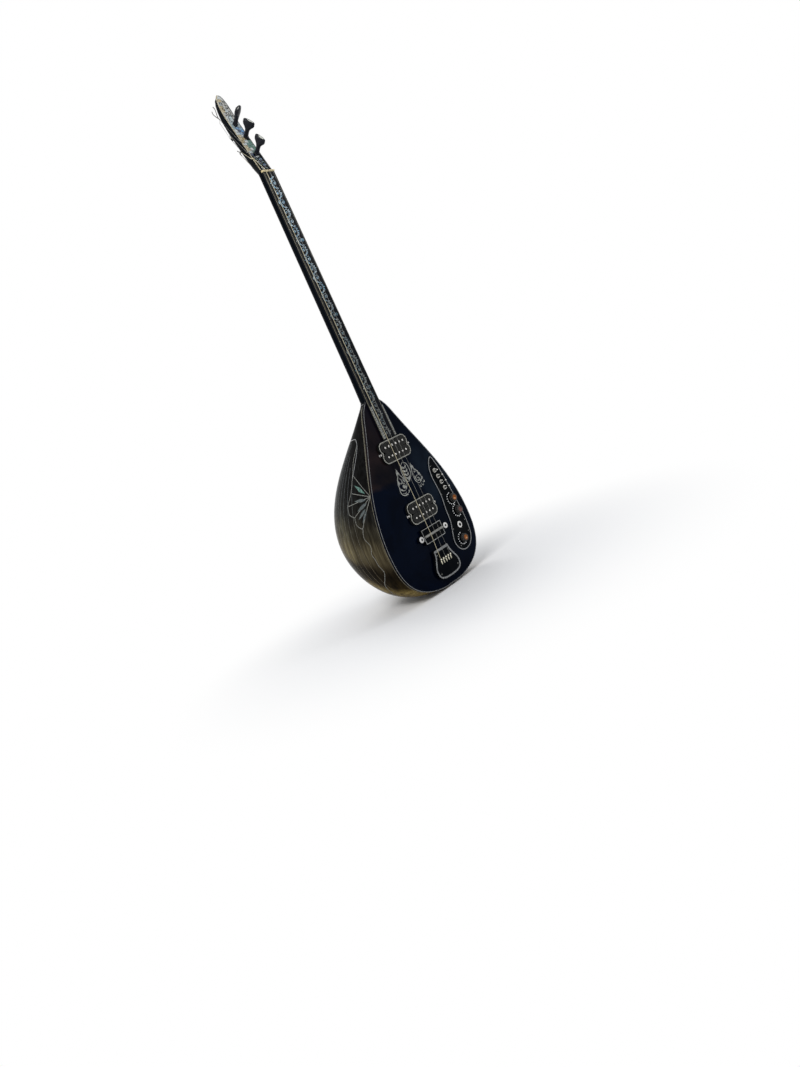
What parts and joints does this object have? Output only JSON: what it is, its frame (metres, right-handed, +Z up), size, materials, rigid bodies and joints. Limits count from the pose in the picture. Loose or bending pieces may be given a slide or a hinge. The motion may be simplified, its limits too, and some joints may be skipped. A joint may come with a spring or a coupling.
{
  "type": "electric long-necked lute",
  "caption": "Short-necked electric baglama: deep staved bowl, long thin neck, tilted peg head, two twin-coil pickups, saddle bridge and a leaf-shaped panel of knobs and switches.",
  "frame": {"origin": "middle of the tail end of the soundboard, on its outer face, where a stand's cradle meets it", "axes": "+Z up the neck to the peg head, -Y the way the soundboard faces, +X to the right seen from the front"},
  "size_m": [0.2434, 0.2356, 0.9873],
  "materials": {
    "bowl_lacquer": "high-gloss black lacquer over staves with pale purfling lines",
    "soundboard_lacquer": "high-gloss black lacquer",
    "neck_lacquer": "high-gloss black lacquer",
    "head_lacquer": "high-gloss black lacquer with shell inlay",
    "fretboard_ebony": "black with shell vine inlay",
    "fittings_lacquer": "gloss black",
    "peg_wood": "satin black, bone cap",
    "bare_wood": "bare",
    "bone": "polished bone",
    "pearl": "mother-of-pearl edged plate",
    "coil_plastic": "moulded black",
    "knob_plastic": "moulded black with copper top",
    "cable_jacket": "soft dark jacket",
    "nickel_steel": "nickel plated",
    "magnet": "cast bar magnet",
    "string_steel": "drawn steel",
    "chrome": "polished chrome"
  },
  "bodies": {
    "body": {"bowl": "bowl_lacquer", "soundboard": "soundboard_lacquer", "neck": "neck_lacquer", "peghead": "head_lacquer", "fretboard": "fretboard_ebony", "nut": "bone", "neck_block": "bare_wood", "tail_block": "bare_wood", "bridge_block": "bare_wood", "soundboard_brace": "bare_wood", "string_1": "string_steel", "string_2": "string_steel", "string_3": "string_steel", "neck_screw_coil": "coil_plastic", "neck_slug_coil": "coil_plastic", "neck_pole_screws": "nickel_steel", "neck_magnet": "magnet", "neck_baseplate": "nickel_steel", "neck_height_screw_left": "chrome", "neck_height_screw_right": "chrome", "bridge_screw_coil": "coil_plastic", "bridge_slug_coil": "coil_plastic", "bridge_pole_screws": "nickel_steel", "bridge_magnet": "magnet", "bridge_baseplate": "nickel_steel", "bridge_height_screw_left": "chrome", "bridge_height_screw_right": "chrome", "bridge_base": "fittings_lacquer", "bridge_saddle": "bone", "bridge_post_left": "chrome", "bridge_post_right": "chrome", "tailpiece": "fittings_lacquer", "string_anchor": "chrome", "control_plate": "fittings_lacquer", "volume_pot": "nickel_steel", "tone_pot": "nickel_steel", "blend_pot": "nickel_steel", "toggle_switch_1": "chrome", "toggle_switch_2": "chrome", "toggle_switch_3": "chrome", "toggle_switch_4": "chrome", "output_jack": "chrome", "pickup_lead": "cable_jacket", "jack_lead": "cable_jacket"},
    "peg_body_1": {"peg_1": "peg_wood", "peg_winding_1": "string_steel"},
    "peg_body_2": {"peg_2": "peg_wood", "peg_winding_2": "string_steel"},
    "peg_body_3": {"peg_3": "peg_wood", "peg_winding_3": "string_steel"},
    "volume_control": {"volume_shaft": "nickel_steel", "volume_knob": "knob_plastic"},
    "tone_control": {"tone_shaft": "nickel_steel", "tone_knob": "knob_plastic"},
    "blend_control": {"blend_shaft": "nickel_steel", "blend_knob": "knob_plastic"},
    "switch_1": {"toggle_lever_1": "chrome"},
    "switch_2": {"toggle_lever_2": "chrome"},
    "switch_3": {"toggle_lever_3": "chrome"},
    "switch_4": {"toggle_lever_4": "chrome"}
  },
  "joints": [
    {"name": "peg_1_turn", "type": "hinge", "parent": "body", "child": "peg_body_1", "pos_m": [-0.0002, 0.0246, 0.92398], "axis": [-0.1371, -0.9049, 0.4029], "continuous": true},
    {"name": "peg_2_turn", "type": "hinge", "parent": "body", "child": "peg_body_2", "pos_m": [0.0042, 0.01768, 0.89623], "axis": [-0.1371, -0.9049, 0.4029], "continuous": true},
    {"name": "peg_3_turn", "type": "hinge", "parent": "body", "child": "peg_body_3", "pos_m": [0.0042, 0.00898, 0.8613], "axis": [-0.1371, -0.9049, 0.4029], "continuous": true},
    {"name": "volume_turn", "type": "hinge", "parent": "body", "child": "volume_control", "pos_m": [0.089, 0, 0.143], "axis": [0, -1, 0], "range_deg": [-150, 150]},
    {"name": "tone_turn", "type": "hinge", "parent": "body", "child": "tone_control", "pos_m": [0.0903, 0, 0.1165], "axis": [0, -1, 0], "range_deg": [-150, 150]},
    {"name": "blend_turn", "type": "hinge", "parent": "body", "child": "blend_control", "pos_m": [0.0718, 0, 0.0632], "axis": [0, -1, 0], "range_deg": [-150, 150]},
    {"name": "switch_1_throw", "type": "hinge", "parent": "body", "child": "switch_1", "pos_m": [0.0752, -0.0012, 0.2076], "axis": [0, 0, 1], "range_deg": [0, 24]},
    {"name": "switch_2_throw", "type": "hinge", "parent": "body", "child": "switch_2", "pos_m": [0.07767, -0.0012, 0.19463], "axis": [0, 0, -1], "range_deg": [0, 24]},
    {"name": "switch_3_throw", "type": "hinge", "parent": "body", "child": "switch_3", "pos_m": [0.08013, -0.0012, 0.18167], "axis": [0, 0, -1], "range_deg": [0, 24]},
    {"name": "switch_4_throw", "type": "hinge", "parent": "body", "child": "switch_4", "pos_m": [0.0826, -0.0012, 0.1687], "axis": [0, 0, -1], "range_deg": [0, 24]}
  ]
}
